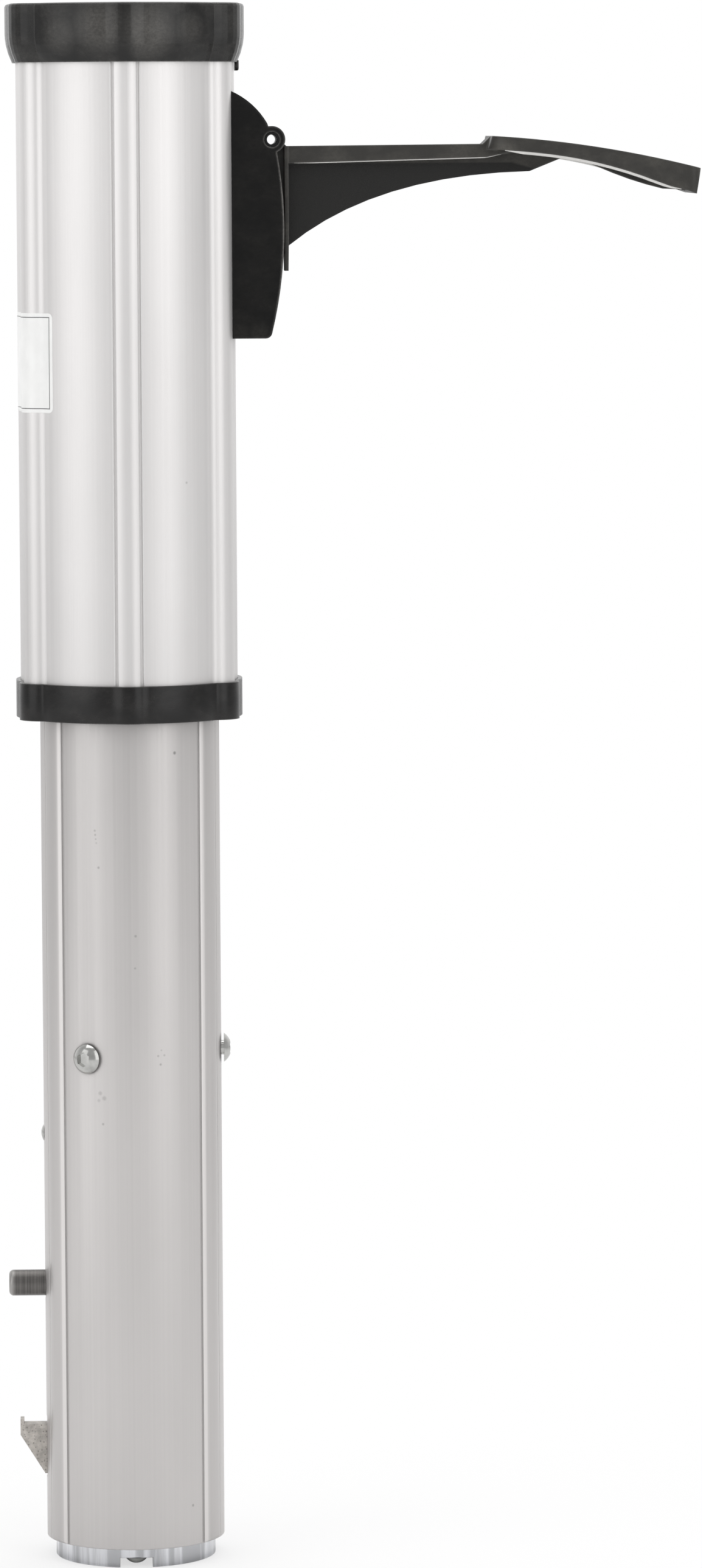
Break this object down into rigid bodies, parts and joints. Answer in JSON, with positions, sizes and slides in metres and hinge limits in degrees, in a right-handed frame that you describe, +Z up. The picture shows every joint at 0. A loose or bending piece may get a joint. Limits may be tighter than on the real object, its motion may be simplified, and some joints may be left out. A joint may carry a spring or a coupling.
{
  "type": "telescoping boat seat post",
  "caption": "Telescoping boat seat post: an outer sleeve slides on a plug-in lower post against a locking gas spring, freed by a paddle lever, with a sprung foot catch.",
  "frame": {"origin": "on the post's axis, level with the underside of the foot ring", "axes": "+Z up the post, +X along the release lever, -Y towards the front"},
  "size_m": [0.2828, 0.1021, 0.6348],
  "materials": {
    "post_tube": "satin anodised extrusion",
    "sleeve_tube": "satin anodised extrusion",
    "ring_metal": "bright machined",
    "casting": "as cast",
    "wedge_casting": "rough cast",
    "screw_steel": "polished stainless steel",
    "nut_steel": "zinc plated",
    "black_steel": "black oxide",
    "button_metal": "turned steel",
    "spring_steel": "rolled stainless strip",
    "cylinder_paint": "black gloss paint",
    "rod_chrome": "ground and chromed",
    "brass": "turned",
    "cap_plastic": "moulded, lightly scuffed",
    "guide_plastic": "moulded acetal",
    "lever_plastic": "moulded glass filled nylon, satin",
    "housing_plastic": "moulded glass filled nylon, dark satin",
    "seal_rubber": "moulded"
  },
  "bodies": {
    "post": {"lower_post": "post_tube", "foot_ring": "ring_metal", "foot_ring_screws": "screw_steel", "cylinder_seat": "casting", "post_screws": "screw_steel", "gas_cylinder": "cylinder_paint", "cylinder_gland": "nut_steel", "rod_seal": "seal_rubber", "cylinder_nut": "nut_steel", "upper_guide": "guide_plastic", "latch_leaf": "spring_steel", "leaf_rivet": "screw_steel"},
    "catch": {"latch_button": "button_metal", "latch_wedge": "wedge_casting"},
    "sleeve": {"outer_tube": "sleeve_tube", "lower_collar": "guide_plastic", "seat_socket": "casting", "pin_bush": "guide_plastic", "top_cap": "cap_plastic", "cap_screws": "screw_steel", "gas_rod": "rod_chrome", "rod_nuts": "nut_steel", "gas_piston": "nut_steel", "piston_ring": "seal_rubber", "lever_housing": "housing_plastic", "housing_screws": "screw_steel", "hinge_pin": "black_steel"},
    "lever": {"release_lever": "lever_plastic"},
    "valve_pin": {"release_pin": "brass"}
  },
  "joints": [
    {"name": "height_slide", "type": "slide", "parent": "post", "child": "sleeve", "axis": [0, 0, 1], "range_m": [-0.125, 0]},
    {"name": "catch_press", "type": "hinge", "parent": "post", "child": "catch", "pos_m": [-0.03135, 0, 0.1649], "axis": [0, -1, 0], "range_deg": [0, 6], "stiffness_Nm_per_rad": 4, "springref_deg": -2.86, "deforming": ["latch_leaf"]},
    {"name": "lever_lift", "type": "hinge", "parent": "sleeve", "child": "lever", "pos_m": [0.0591, 0, 0.57998], "axis": [0, -1, 0], "range_deg": [0, 6], "stiffness_Nm_per_rad": 8, "springref_deg": -2.86},
    {"name": "valve_press", "type": "slide", "parent": "sleeve", "child": "valve_pin", "axis": [0, 0, -1], "range_m": [0, 0.0063]}
  ],
  "couplings": [
    {"joint": "valve_press", "follows": "lever_lift", "m_per_rad": 0.0591}
  ]
}
